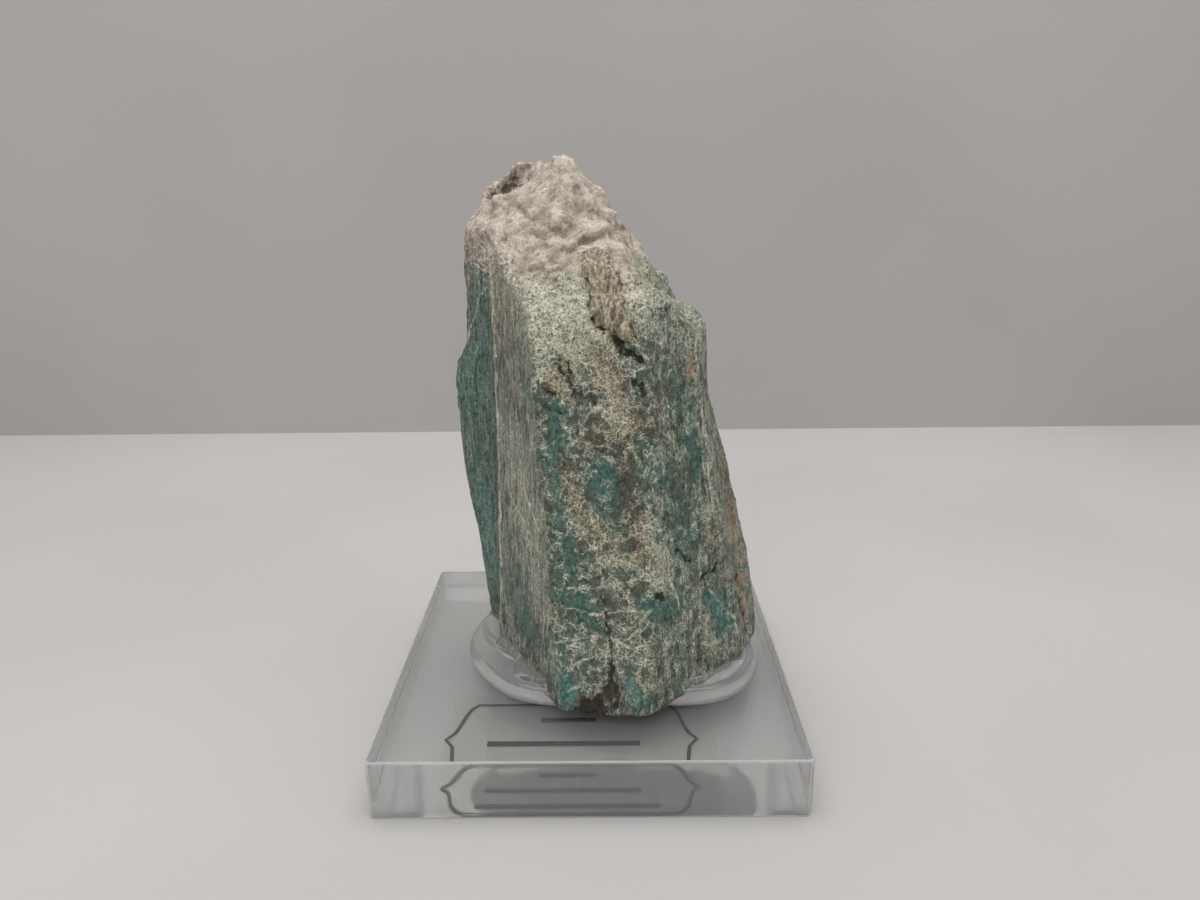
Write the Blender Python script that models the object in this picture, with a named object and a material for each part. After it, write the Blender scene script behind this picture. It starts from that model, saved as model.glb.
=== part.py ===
"""A rough amazonite crystal with a pale crust, stuck by a clear adhesive pad to a square clear display base.

Metres, +Z up. The base lies on z = 0 with its centre at the origin, and the crystal's broad front faces -Y.
Points and lengths of the crystal are written in millimetres and scaled by MM where its mesh is made.
"""

import math

import bmesh
import bpy
from mathutils import Vector, noise

MM = 0.001
GAP = 0.0003

BASE_SIDE = 0.0508
BASE_HEIGHT = 0.0075
BASE_CORNER_RADIUS = 0.0008
BASE_EDGE_BREAK = 0.0002

LABEL_WIDTH = 0.0331
LABEL_DEPTH = 0.0179
LABEL_THICKNESS = 0.0002
LABEL_CORNER_RADIUS = 0.0015
LABEL_CENTRE = (-0.00125, -0.01605)
CORNER_STEPS = 5

# The pad was squeezed out by hand, so its outline goes through these points and follows no simple shape
PAD_OUTLINE = (
    (-0.0166, 0.0010), (-0.0160, -0.0042), (-0.0132, -0.0098), (-0.0086, -0.0136),
    (-0.0020, -0.0148), (0.0060, -0.0146), (0.0130, -0.0141), (0.0182, -0.0126),
    (0.0210, -0.0087), (0.0217, -0.0020), (0.0210, 0.0050), (0.0175, 0.0105),
    (0.0100, 0.0130), (0.0010, 0.0136), (-0.0080, 0.0126), (-0.0142, 0.0082),
)
PAD_STEPS = 4
PAD_THICKNESS = 0.0022
PAD_RIM_STEPS = 4
PAD_CLEARANCE = 0.00035

# Plan position of each corner line of the crystal at each of these heights, in millimetres
CRYSTAL_HEIGHTS = (8.6, 22, 33, 45, 57, 73)
LEFT_EDGE = ((-12.6, -1.8), (-12.1, -1.7), (-11.8, -1.4), (-11.7, -1.2), (-11.7, -0.3), (-12.5, 2.0))
FRONT_RIDGE = ((-3.4, -17.9), (-4.3, -14.8), (-4.8, -13.2), (-5.6, -11.2), (-6.6, -8.6), (-9.4, -5.0))
FRONT_FOLD = ((6.8, -19.0), (7.4, -15.8), (7.3, -13.9), (6.9, -11.8), (6.2, -9.6), (5.0, -6.5))
RIGHT_EDGE = ((19.6, -8.4), (17.6, -8.4), (15.7, -8.0), (13.8, -7.2), (12.8, -5.8), (12.0, -4.0))
FAR_RIGHT = ((22.8, -1.2), (21.1, 0.2), (18.3, 0.5), (15.2, 0.5), (14.9, 0.5), (14.8, 0.5))
BACK_RIGHT = ((17.0, 9.5), (16.0, 9.5), (14.5, 9.2), (12.8, 8.7), (12.2, 8.2), (11.5, 7.5))
BACK_RIDGE = ((-1.0, 13.0), (-1.0, 12.5), (-1.3, 11.8), (-1.8, 11.0), (-2.3, 10.0), (-3.0, 8.5))
BACK_LEFT = ((-12.5, 9.0), (-12.5, 9.0), (-12.5, 8.6), (-12.5, 8.1), (-12.5, 7.6), (-12.5, 7.0))

# The plate grown on the left side, as far out at each height as its side reaches, in millimetres
PLATE_HEIGHTS = (8.6, 16, 22, 28, 34, 40, 44, 47.4, 53.0)
PLATE_REACH = (-14.3, -15.1, -15.7, -16.6, -17.4, -17.9, -18.1, -17.5, -14.6)
PLATE_FRONT = (-10.8, 0.0)
PLATE_SIDE_Y = 4.6
PLATE_BACK = (-13.5, 9.5)
PLATE_ROOT = (-8, 8)

# Flat breaks that end the blocks: a point in millimetres, then the azimuth and rise of its facing, in degrees
CRUST_BREAK = ((-6.8, -9.6, 54.0), -106, 39)
CRUST_FRONT_BREAK = ((3.0, -10.2, 54.6), -88, 39)
UPPER_FRONT_BREAK = ((0.0, -11.6, 49.0), -95, 21)
SUMMIT = ((0, 0, 72.6), 0, 90)
LEFT_SHOULDER = ((-12.4, 3.0, 68.4), 176, 44)
LEFT_CRUST_BREAK = ((-13.6, 2.2, 63.6), -128, 42)
BACK_BREAK = ((-3.0, 8.3, 69.0), 95, 30)
UNDERSIDE_BREAK = ((8.6, -16.0, 8.6), -12, -80)
SUMMIT_RIGHT = ((2.7, 7.0, 67.2), -12, 35)
RIGHT_SHELF = ((12.6, 2.0, 54.6), 12, 62)
RIGHT_CORNER_BREAK = ((12.4, -1.0, 54.5), -8, 32)
PLATE_TOP = ((-17.1, 4.6, 47.6), -165, 42)

# Smaller upright blocks: the plan outline, then the lowest and highest point before its breaks
UPPER_PLATE = (((-11.3, -0.2), (-15.9, 4.6), (-14.2, 8.8), (-8, 7)), 40, 73)
SLAB = (((-0.8, -10.5), (5.4, -11.0), (6.2, -4.0), (0.4, -3.0)), 45, 66)
SLAB_BREAKS = (((2.6, -8.8, 55.4), -62, 35), ((5.0, -7.0, 57.6), 0, 30), ((2.0, -5.0, 61.0), -75, 62))
LUMP = (((9.0, -8.8), (13.4, -6.6), (14.9, -1.0), (11.0, 3.0), (7.0, -2.0)), 42, 62)
LUMP_BREAKS = (((13.2, -4.0, 53.0), -20, 38), ((11.0, -5.0, 54.7), -20, 72), ((9.0, -3.0, 56.0), 200, 40))
RIM = (((-13.6, 7.8), (-6.2, 7.8), (-5.4, 9.8), (-12.6, 10.2)), 50, 72.2)
RIM_BREAKS = (((-11.0, 8.5, 70.6), 180, 52), ((-10.0, 9.6, 71.3), 95, 30))

# Cracks and pits: the route, the radius and the depth of each, in millimetres
SUMMIT_PIT = (((-10.9, 6.7, 68.3), (-9.3, 6.4, 69.7), (-7.8, 6.9, 71.0)), 1.3, 1.6)
CRUST_CRACK = (((0.9, -10.3, 54.6), (2.3, -10.2, 53.3), (4.3, -10.8, 51.6), (6.2, -10.9, 49.8)), 1.0, 1.1)
CORNER_CRACK = (((12.2, -11.9, 25.8), (13.5, -11.5, 23.7), (16.4, -9.2, 23.4), (19.6, -4.0, 22.4)), 0.7, 0.5)
HOLLOWS = (SUMMIT_PIT, CRUST_CRACK, CORNER_CRACK)

# Relief of the faces and of the crust, in millimetres, and how many waves, lumps or ledges to a millimetre
WAVE_HEIGHT = 0.22
WAVES_PER_MM = (0.35, 0.35, 0.10)
LUMP_HEIGHT = 0.75
LUMPS_PER_MM = 0.22
FRACTAL = {"H": 0.9, "lacunarity": 2.0, "octaves": 3}
LEDGE_HEIGHT = 0.5
LEDGES_PER_MM = 0.24
LEDGE_EDGE = 0.5
LEDGE_SINK = 0.7
CRUST_STARTS = 60
CRUST_IS_WHOLE = 72
CRUST_ON_TOPS = 30

MINERAL_COLOUR = (0.11, 0.17, 0.14)
CLEAR_COLOUR = (0.80, 0.81, 0.80)
LABEL_COLOUR = (0.70, 0.70, 0.69)

REMESH_SIZE = 0.00055
CRYSTAL_TRIANGLES = 6500


def clear_scene():
    for thing in list(bpy.data.objects):
        bpy.data.objects.remove(thing)


def material(name, colour, roughness, transmission=0.0):
    made = bpy.data.materials.new(name)
    made.use_nodes = True
    shader = made.node_tree.nodes["Principled BSDF"]
    shader.inputs["Base Color"].default_value = (*colour, 1)
    shader.inputs["Roughness"].default_value = roughness
    shader.inputs["Metallic"].default_value = 0
    shader.inputs["Transmission Weight"].default_value = transmission
    return made


def add_object(name, bm, made_of=None):
    """An object of this mesh, closed and facing out. The bmesh is freed."""
    bmesh.ops.recalc_face_normals(bm, faces=bm.faces)
    mesh = bpy.data.meshes.new(name)
    bm.to_mesh(mesh)
    bm.free()
    made = bpy.data.objects.new(name, mesh)
    bpy.context.collection.objects.link(made)
    if made_of:
        mesh.materials.append(made_of)
    return made


def evaluated_mesh(owner):
    graph = bpy.context.evaluated_depsgraph_get()
    return bpy.data.meshes.new_from_object(owner.evaluated_get(graph))


def as_helper(thing):
    thing.hide_render = True
    thing.display_type = "WIRE"
    return thing


def loft(bm, rings):
    """Adds a closed shell through rings that hold the same number of points each."""
    levels = [[bm.verts.new(point) for point in ring] for ring in rings]
    bm.faces.new(levels[0])
    bm.faces.new(levels[-1])
    for lower, upper in zip(levels, levels[1:]):
        for i in range(len(lower)):
            j = (i + 1) % len(lower)
            bm.faces.new((lower[i], lower[j], upper[j], upper[i]))


def rounded_rectangle(width, depth, radius, z):
    points = []
    for quarter, (x_side, y_side) in enumerate(((1, 1), (-1, 1), (-1, -1), (1, -1))):
        for step in range(CORNER_STEPS + 1):
            angle = math.radians(90 * (quarter + step / CORNER_STEPS))
            x = x_side * (width / 2 - radius) + radius * math.cos(angle)
            y = y_side * (depth / 2 - radius) + radius * math.sin(angle)
            points.append((x, y, z))
    return points


def make_base():
    bm = bmesh.new()
    levels = (
        (0, BASE_EDGE_BREAK),
        (BASE_EDGE_BREAK, 0),
        (BASE_HEIGHT - BASE_EDGE_BREAK, 0),
        (BASE_HEIGHT, BASE_EDGE_BREAK),
    )
    rings = []
    for z, inset in levels:
        side = BASE_SIDE - 2 * inset
        rings.append(rounded_rectangle(side, side, BASE_CORNER_RADIUS - inset, z))
    loft(bm, rings)
    base = add_object("display_base", bm, material("clear acrylic", CLEAR_COLOUR, 0.05, 1))

    pocket = bmesh.new()
    wide = LABEL_WIDTH + 2 * GAP
    deep = LABEL_DEPTH + 2 * GAP
    top = LABEL_THICKNESS + GAP
    levels = [rounded_rectangle(wide, deep, LABEL_CORNER_RADIUS + GAP, z) for z in (-BASE_HEIGHT, top)]
    loft(pocket, levels)
    cutter = as_helper(add_object("label pocket", pocket))
    cutter.location = (*LABEL_CENTRE, 0)
    cut = base.modifiers.new("label pocket", "BOOLEAN")
    cut.operation = "DIFFERENCE"
    cut.object = cutter


def make_label():
    bm = bmesh.new()
    levels = (0, LABEL_THICKNESS)
    loft(bm, [rounded_rectangle(LABEL_WIDTH, LABEL_DEPTH, LABEL_CORNER_RADIUS, z) for z in levels])
    label = add_object("label", bm, material("clear film", LABEL_COLOUR, 0.35, 0.8))
    label.location = (*LABEL_CENTRE, 0)


def smooth_outline(corners, steps):
    """The point and outward direction at each step of a closed curve through the anticlockwise corners."""
    corners = [Vector(corner) for corner in corners]
    found = []
    for i, start in enumerate(corners):
        before = corners[i - 1]
        end = corners[(i + 1) % len(corners)]
        after = corners[(i + 2) % len(corners)]
        for step in range(steps):
            t = step / steps
            slope = end - before
            curve = 2 * before - 5 * start + 4 * end - after
            twist = 3 * start - 3 * end + after - before
            point = start + 0.5 * (slope * t + curve * t**2 + twist * t**3)
            along = slope + 2 * curve * t + 3 * twist * t**2
            found.append((point, Vector((along.y, -along.x)).normalized()))
    return found


def make_pad(crystal):
    """The pad with its round rim, hollowed where the crystal sinks into it."""
    radius = PAD_THICKNESS / 2
    outline = smooth_outline(PAD_OUTLINE, PAD_STEPS)
    rings = []
    for step in range(PAD_RIM_STEPS + 1):
        angle = math.pi * (step / PAD_RIM_STEPS - 0.5)
        inset = radius * (1 - math.cos(angle))
        z = radius * (1 + math.sin(angle))
        rings.append([(*(point - outward * inset), z) for point, outward in outline])
    bm = bmesh.new()
    loft(bm, rings)
    pad = add_object("adhesive_pad", bm, material("clear adhesive", CLEAR_COLOUR, 0.08, 1))
    pad.location.z = BASE_HEIGHT + GAP

    grown = as_helper(bpy.data.objects.new("pad hollow", crystal.data))
    bpy.context.collection.objects.link(grown)
    swell = grown.modifiers.new("clearance", "DISPLACE")
    swell.mid_level = 0
    swell.strength = PAD_CLEARANCE
    cut = pad.modifiers.new("pad hollow", "BOOLEAN")
    cut.operation = "DIFFERENCE"
    cut.object = grown


def facing(azimuth, rise):
    """The direction at this azimuth from +X and this rise above level, both in degrees."""
    turn = math.radians(azimuth)
    lift = math.radians(rise)
    level = math.cos(lift)
    return Vector((level * math.cos(turn), level * math.sin(turn), math.sin(lift)))


def block(rings, cuts=()):
    """A closed shell lofted through the rings and cut by flat breaks, each a point and the way it faces."""
    bm = bmesh.new()
    loft(bm, rings)
    bmesh.ops.triangulate(bm, faces=bm.faces)
    for point, azimuth, rise in cuts:
        everything = bm.verts[:] + bm.edges[:] + bm.faces[:]
        made = bmesh.ops.bisect_plane(
            bm, geom=everything, plane_co=point, plane_no=facing(azimuth, rise), clear_outer=True
        )
        rim = [piece for piece in made["geom_cut"] if isinstance(piece, bmesh.types.BMEdge)]
        bmesh.ops.contextual_create(bm, geom=rim)
    return bm


def crystal_rings():
    lines = (
        LEFT_EDGE, FRONT_RIDGE, FRONT_FOLD, RIGHT_EDGE, FAR_RIGHT, BACK_RIGHT, BACK_RIDGE, BACK_LEFT
    )
    return [[(*line[i], z) for line in lines] for i, z in enumerate(CRYSTAL_HEIGHTS)]


def plate_rings():
    rings = []
    for reach, z in zip(PLATE_REACH, PLATE_HEIGHTS):
        outline = (PLATE_FRONT, (reach, PLATE_SIDE_Y), PLATE_BACK, PLATE_ROOT)
        rings.append([(x, y, z) for x, y in outline])
    return rings


def upright_rings(outline, bottom, top):
    return [[(x, y, z) for x, y in outline] for z in (bottom, top)]


def crystal_blocks():
    """The crystal as overlapping blocks: body, summit, two left plates, slab, right shoulder and back rim."""
    left = (LEFT_SHOULDER, LEFT_CRUST_BREAK, BACK_BREAK)
    shared = (CRUST_BREAK, CRUST_FRONT_BREAK, UPPER_FRONT_BREAK, SUMMIT, *left, UNDERSIDE_BREAK)
    return (
        block(crystal_rings(), (*shared, RIGHT_SHELF, RIGHT_CORNER_BREAK)),
        block(crystal_rings(), (*shared, SUMMIT_RIGHT)),
        block(plate_rings(), (PLATE_TOP,)),
        block(upright_rings(*UPPER_PLATE), left),
        block(upright_rings(*SLAB), SLAB_BREAKS),
        block(upright_rings(*LUMP), LUMP_BREAKS),
        block(upright_rings(*RIM), RIM_BREAKS),
    )


def smooth_step(low, high, value):
    along = min(1, max(0, (value - low) / (high - low)))
    return along * along * (3 - 2 * along)


def hollow_at(point, route, radius, depth):
    """How deep a crack or a pit along this route goes here, in millimetres."""
    nearest = radius
    for start, end in zip(route, route[1:]):
        along = Vector(end) - Vector(start)
        share = min(1, max(0, (point - Vector(start)).dot(along) / along.length_squared))
        nearest = min(nearest, (point - Vector(start) - along * share).length)
    return depth * (1 - smooth_step(0, radius, nearest))


def fractal_at(point):
    return noise.fractal(point, FRACTAL["H"], FRACTAL["lacunarity"], FRACTAL["octaves"])


def relief_at(point, normal):
    """How far the surface stands out from its flat blocks here, in millimetres."""
    crust = smooth_step(CRUST_STARTS, CRUST_IS_WHOLE, point.z + CRUST_ON_TOPS * normal.z)
    waves = fractal_at(point * Vector(WAVES_PER_MM)) * WAVE_HEIGHT
    lumps = fractal_at(point * LUMPS_PER_MM) * LUMP_HEIGHT
    near, far = noise.voronoi(point * LEDGES_PER_MM)[0][:2]
    ledges = (smooth_step(0, LEDGE_EDGE, far - near) - LEDGE_SINK) * LEDGE_HEIGHT
    hollows = sum(hollow_at(point, *hollow) for hollow in HOLLOWS)
    return (1 - crust) * waves + crust * (lumps + ledges) - hollows


def make_crystal():
    bm = bmesh.new()
    for piece in crystal_blocks():
        bmesh.ops.recalc_face_normals(piece, faces=piece.faces)
        mesh = bpy.data.meshes.new("block")
        piece.to_mesh(mesh)
        piece.free()
        bm.from_mesh(mesh)
        bpy.data.meshes.remove(mesh)
    bmesh.ops.scale(bm, vec=(MM, MM, MM), verts=bm.verts)
    rough = as_helper(add_object("crystal blocks", bm))
    remesh = rough.modifiers.new("one skin", "REMESH")
    remesh.mode = "VOXEL"
    remesh.voxel_size = REMESH_SIZE

    skin = evaluated_mesh(rough)
    moved = []
    for vertex in skin.vertices:
        point = vertex.co / MM
        moved.append(vertex.co + vertex.normal * relief_at(point, vertex.normal) * MM)
    for vertex, place in zip(skin.vertices, moved):
        vertex.co = place
    bpy.data.objects.remove(rough)

    worn = as_helper(bpy.data.objects.new("worn crystal", skin))
    bpy.context.collection.objects.link(worn)
    fewer = worn.modifiers.new("fewer triangles", "DECIMATE")
    fewer.ratio = CRYSTAL_TRIANGLES / sum(len(face.vertices) - 2 for face in skin.polygons)
    fewer.use_collapse_triangulate = True
    crystal = bpy.data.objects.new("amazonite", evaluated_mesh(worn))
    crystal.data.name = "amazonite"
    crystal.data.materials.append(material("amazonite", MINERAL_COLOUR, 0.55))
    bpy.context.collection.objects.link(crystal)
    bpy.data.objects.remove(worn)
    return crystal


def main():
    clear_scene()
    make_base()
    make_label()
    make_pad(make_crystal())


main()
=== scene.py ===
"""Looks for a rough amazonite crystal that a clear pad holds on a square clear display base.

Metres, +Z up, with the crystal's broad front facing -Y. The tables and constants below hold millimetres
unless they say otherwise, and MM brings them to metres.
"""

import math

import bmesh
import bpy
import numpy as np
from mathutils import Matrix, Vector, noise


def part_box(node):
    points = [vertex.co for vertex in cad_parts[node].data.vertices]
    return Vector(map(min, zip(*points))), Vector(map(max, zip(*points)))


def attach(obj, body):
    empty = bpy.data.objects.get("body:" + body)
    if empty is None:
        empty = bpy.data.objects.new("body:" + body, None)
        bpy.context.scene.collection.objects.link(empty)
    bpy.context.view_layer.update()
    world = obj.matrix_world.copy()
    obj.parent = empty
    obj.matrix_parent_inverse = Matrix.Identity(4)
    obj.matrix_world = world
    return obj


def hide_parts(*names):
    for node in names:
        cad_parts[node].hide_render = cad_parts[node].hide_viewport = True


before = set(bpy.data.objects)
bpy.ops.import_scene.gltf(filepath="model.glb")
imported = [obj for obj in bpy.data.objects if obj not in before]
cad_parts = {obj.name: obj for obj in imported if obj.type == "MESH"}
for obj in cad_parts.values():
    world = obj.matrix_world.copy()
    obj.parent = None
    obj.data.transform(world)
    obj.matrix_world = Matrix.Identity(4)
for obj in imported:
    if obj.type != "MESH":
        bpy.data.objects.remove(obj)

bl_info = {
    "name": "Rough amazonite on a clear base",
    "version": (1, 0, 0),
    "blender": (4, 5, 0),
    "location": "View3D > Sidebar > Specimen",
    "description": "Builds a rough amazonite crystal on its clear pad, base and label around a CAD frame",
    "category": "Object",
}

MM = 0.001

# Corner lines of the crystal's front, as x at each height, in millimetres
LINE_HEIGHTS = (8.6, 22, 33, 45, 57, 73)
LEFT_LINE = (-12.6, -12.1, -11.8, -11.7, -11.7, -12.5)
RIDGE_LINE = (-3.4, -4.3, -4.8, -5.6, -6.6, -9.4)
FOLD_LINE = (6.8, 7.4, 7.3, 6.9, 6.2, 5.0)

# Patches on the crystal's front: the route of each as (x, z), its half width in millimetres and its strength
PATCHES = {
    "dense": (
        (((-6.4, 57.6), (-2.9, 55.6), (0.5, 53.6)), 4.6, 0.85),
        (((-5.6, 53.4), (-1, 51.2), (1.8, 52.2)), 4, 0.68),
        (((0.4, 50.2), (2.6, 47.4), (3.8, 43.4)), 2.8, 0.55),
        (((-4.6, 48.8), (-2.6, 46.8)), 1.7, 0.6),
        (((-2.4, 36), (-1, 31), (1, 29)), 2.4, 0.35),
        (((8, 57), (11.4, 55), (13.6, 50.5)), 3, 0.30),
        (((6.6, 31), (7.6, 27.6), (8.4, 24)), 2, 0.55),
        (((0.2, 32.4), (1.4, 27.4), (5.5, 27.2)), 2.2, 0.35),
        (((4.6, 24), (5.2, 17), (8.2, 15.4)), 2.3, 0.20),
        (((-3, 16), (3, 17.8)), 1.6, 0.15),
        (((5.4, 13.4), (7.4, 11.6)), 1.4, 0.35),
        (((14, 43), (14.6, 36), (15.2, 30)), 1.2, 0.25),
        (((13.2, 21.6), (14, 17), (15.4, 13.6)), 1.2, 0.25),
        (((-9.6, 40), (-7.4, 28), (-6, 20)), 2.6, 0.4),
    ),
    "bare": (
        (((1, 36.4), (3.6, 36.8), (3.4, 34)), 2.9, 1),
        (((-2.2, 22.8), (-0.2, 20.8)), 2.4, 0.9),
        (((7.2, 22.2), (10.2, 20.6)), 2, 0.8),
        (((-3.2, 13), (-1.4, 9.4)), 2.3, 1),
        (((4.8, 12.8), (6.6, 10.6)), 2, 0.9),
        (((9.6, 37.4), (10.8, 31), (11.6, 28.4)), 2.4, 0.5),
        (((12.4, 42), (12.8, 36)), 2, 0.6),
        (((-3.9, 46), (-3.7, 40), (-2.9, 31.9), (-2, 26)), 1.5, 0.9),
        (((14.9, 20.4), (16.4, 18.4), (17.2, 15.6)), 1.7, 1),
        (((10.6, 44.8), (9.4, 48.6)), 1.6, 0.5),
        (((-8.8, 22), (-8, 14)), 2.4, 0.7),
    ),
    "bright": (
        (((-3.2, 12.4), (-1.2, 9.4)), 2.4, 1),
        (((4.4, 13), (5.4, 10.2)), 1.9, 0.8),
        (((14.9, 20.2), (16.4, 18.4), (17, 16.2)), 1.5, 1),
        (((-14.4, 30), (-13.6, 18)), 2.2, 0.9),
        (((-16.4, 46), (-15.8, 38)), 1.6, 0.5),
        (((1.2, 36), (3.2, 36.2)), 1.8, 0.35),
        (((7.6, 21.8), (9.6, 21)), 1.4, 0.45),
        (((11.2, 27.6), (12.4, 29)), 1.3, 0.6),
        (((-3.6, 40), (-2.9, 32)), 1.1, 0.4),
    ),
    "warm": (
        (((1.6, 50.2), (3.3, 47.4), (4.6, 44.4), (6.1, 43.5)), 3, 1),
        (((-2.6, 48.8), (-4.1, 46.8), (-1.3, 46)), 2, 0.8),
        (((1.5, 43), (0.6, 40.2)), 2.8, 0.7),
        (((4.2, 42), (5, 34), (6, 27.4)), 2, 0.95),
        (((15.4, 26.2), (15, 28.2)), 1.5, 0.9),
        (((0.8, 60.8), (2.2, 57.6), (4.2, 53.6)), 2.6, 0.9),
        (((-14.8, 64), (-15.4, 59), (-16.2, 54)), 1.5, 0.8),
        (((16.9, 40), (17.8, 33), (18.9, 27)), 1.6, 0.8),
        (((-2.4, 38), (-0.6, 31), (5, 27.6)), 3, 0.70),
        (((8, 46), (9, 40)), 2, 0.5),
        (((-6, 38), (-4.6, 30)), 1.4, 0.45),
        (((-11.4, 62), (-9.4, 52), (-9, 44)), 2.4, 0.7),
        (((15.2, 13.4), (17.2, 13)), 1.1, 0.8),
        (((6.4, 26.8), (7.6, 26.4)), 1.2, 0.8),
        (((6.6, 14.2), (7.4, 12.4)), 1.1, 0.7),
        (((3.4, 9.8), (6.2, 9.8)), 0.9, 0.6),
        (((-0.8, 9.6), (1.4, 9.4), (2.8, 12.4)), 2.2, 1),
    ),
    "rust": (
        (((-1, 10), (0.4, 9)), 1.1, 0.5),
        (((1.4, 9.4), (2.5, 12)), 1.4, 0.35),
        (((17.6, 29.6), (18.6, 26.4), (19.2, 23.6), (19.6, 21.6)), 1.3, 0.70),
        (((16.6, 22.6), (17.8, 22)), 0.9, 0.6),
        (((12.1, 49.4), (12.5, 47.1)), 1.3, 0.6),
        (((19.3, 20), (19.8, 17), (20.4, 13.8)), 1.2, 1),
    ),
}

# Pale veins on the crystal's front: the route of each as (x, z)
VEINS = (
    ((0.5, 33), (0.9, 28.4), (1.8, 22.4), (2.5, 17.6), (2.6, 14.4)),
    ((8.4, 31), (9, 28.4), (9.9, 24.2), (10.8, 20.4)),
    ((-2.6, 23.6), (2.5, 24), (6, 25.2)),
    ((-4, 17), (1.3, 18.3), (4.4, 17), (7.6, 17.2)),
    ((-2.6, 14), (-0.4, 15.4), (2.9, 16.2)),
    ((2.6, 16), (4.4, 12.4), (5.8, 9.6)),
    ((-10.6, 33.6), (-9, 30.4), (-6.6, 27.6), (-4.4, 26.4)),
    ((14.3, 22.6), (15.2, 20.9), (16.2, 19.5), (18.2, 16.2), (19.1, 13.4)),
    ((14.2, 14.6), (16.6, 12.8), (18.6, 12.4)),
    ((-8.6, 38), (-7.4, 33), (-6, 29.6)),
    ((-3, 21.4), (0.2, 20.6), (4.6, 21.2)),
    ((2.6, 16.6), (5.6, 19), (7.4, 21.6)),
    ((-2.6, 11.4), (0.6, 12.6), (2.8, 12.2)),
    ((-13.1, 56.2), (-14.6, 52.6), (-16.8, 47.8)),
    ((13.6, 43.4), (14.4, 38), (15, 31)),
    ((-11.7, 60), (-11.5, 45), (-11.6, 33), (-11.9, 22), (-12.3, 12)),
)
RING_CENTRE = (1.5, 42.6)
RING_RADIUS = 2.2

# Cracks and pits in the crystal's front: the route as (x, z), the half width, the depth and how dark its
# painted shade is
CUTS = (
    (((0.8, 54.6), (1.9, 53.4), (3, 53), (4.3, 51.2), (6.3, 49.8)), 0.34, 0.60, 0.95),
    (((3.3, 52.7), (3.9, 51.8)), 0.62, 0.80, 1),
    (((-0.6, 9.4), (1.2, 9.8), (2.5, 11.6)), 1.7, 0.20, 1.15),
    (((14.9, 20.4), (16.4, 18.2), (17.2, 15.8)), 1.4, 0.50, 0),
    (((13.2, 22.6), (13.2, 18), (14, 14)), 0.5, 0.35, 0.3),
    (((2.6, 14.6), (2.7, 12.6), (3.2, 10)), 0.55, 0.45, 0.9),
    (((1.9, 22.4), (2.3, 19), (2.7, 14.6)), 0.30, 0.25, 0.95),
    (((10.6, 27.4), (11.4, 26.6), (12.1, 25.5)), 0.42, 0.50, 0.95),
    (((13.8, 23.1), (14.8, 23.4), (16.4, 24.2)), 0.38, 0.50, 0.95),
    (((19, 21), (19.6, 17.4), (20.4, 14), (20.9, 11.6)), 0.5, 0.45, 0.8),
    (((-3.8, 49.8), (-3.1, 49.4), (-2.6, 48.6)), 0.30, 0.45, 1),
    (((-2.2, 50), (-1.9, 48.8)), 0.30, 0.40, 0.95),
    (((-4.9, 47), (-4.2, 46.3), (-3.4, 46.3)), 0.34, 0.50, 1),
    (((-1.9, 48), (-1.5, 46.8), (-1.8, 45.8)), 0.36, 0.45, 0.9),
    (((-4.6, 44.8), (-3.6, 44.2), (-3, 44.4)), 0.34, 0.40, 0.8),
    (((-1.2, 42.4), (0, 40.6), (1.6, 40)), 0.34, 0.35, 0.7),
    (((4.8, 48.6), (5.4, 47), (6.2, 45.4)), 0.34, 0.40, 0.85),
    (((-1.8, 46.8), (0.4, 46), (1.6, 45)), 0.5, 0.35, 0.6),
    (((3, 49.6), (3.9, 47.6), (4.4, 45.6)), 0.5, 0.35, 0.6),
    (((6.2, 47.2), (6.5, 46.2)), 0.7, 0.60, 0.9),
    (((8.45, 22.7), (8.6, 22.2)), 0.55, 0.50, 1.3),
    (((-12.6, 58), (-12.3, 45), (-12.3, 33), (-12.6, 20)), 0.45, 0.15, 0.35),
    (((-0.9, 69.4), (-0.9, 65.9), (-1.8, 63.9)), 0.8, 0.40, 0.12),
    (((-9.4, 67.2), (-6.4, 65.4), (-3.4, 63.6), (-1, 63.9)), 0.8, 0.35, 0.08),
    (((-4, 61.2), (-1, 62.4), (1.8, 63.6), (4.6, 63.9)), 0.8, 0.40, 0.10),
    (((-6.6, 60.2), (-4.2, 59.6), (-2.4, 60.2)), 0.7, 0.35, 0.12),
    (((-4.6, 58.6), (-2.6, 57.4), (-0.8, 56)), 0.6, 0.30, 0.25),
    (((-0.6, 61.4), (0.2, 58), (1.2, 54.6)), 0.42, 0.40, 0.65),
    (((3.7, 59.6), (4.4, 56.6), (5.6, 52.6)), 0.42, 0.40, 0.65),
    (((6.6, 60.4), (7.6, 57.4), (9, 55.6)), 0.7, 0.35, 0.4),
)

# A slab with upright lines that stands proud of the front: its middle line as (x, z) and its half width
SLAB = (((1.2, 60.4), (2.2, 57.4), (3.5, 54.2)), 2.2)

# The cavity in the top, sunk and darkened with painted shade: its middle line as (x, y, z) and its radius
HOLLOW = (((-11.6, 6.6, 68.0), (-9.0, 6.8, 70.2)), 1.9)

# The crust starts at one height and is whole at the other. It starts lower on a face that looks up, and
# higher on the front's right shoulder, by CRUST_RISE for each millimetre right of CRUST_RIGHT
CRUST_FROM = 56.5
CRUST_WHOLE = 66.5
CRUST_FOR_TOPS = 3.5
CRUST_RIGHT = 5
CRUST_RISE = 0.7

# How far the edges of the masks wander
CRUST_WANDER = 1.6
PATCH_WANDER = 0.55
VEIN_WANDER = 0.32
CUT_WANDER = 0.4

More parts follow.
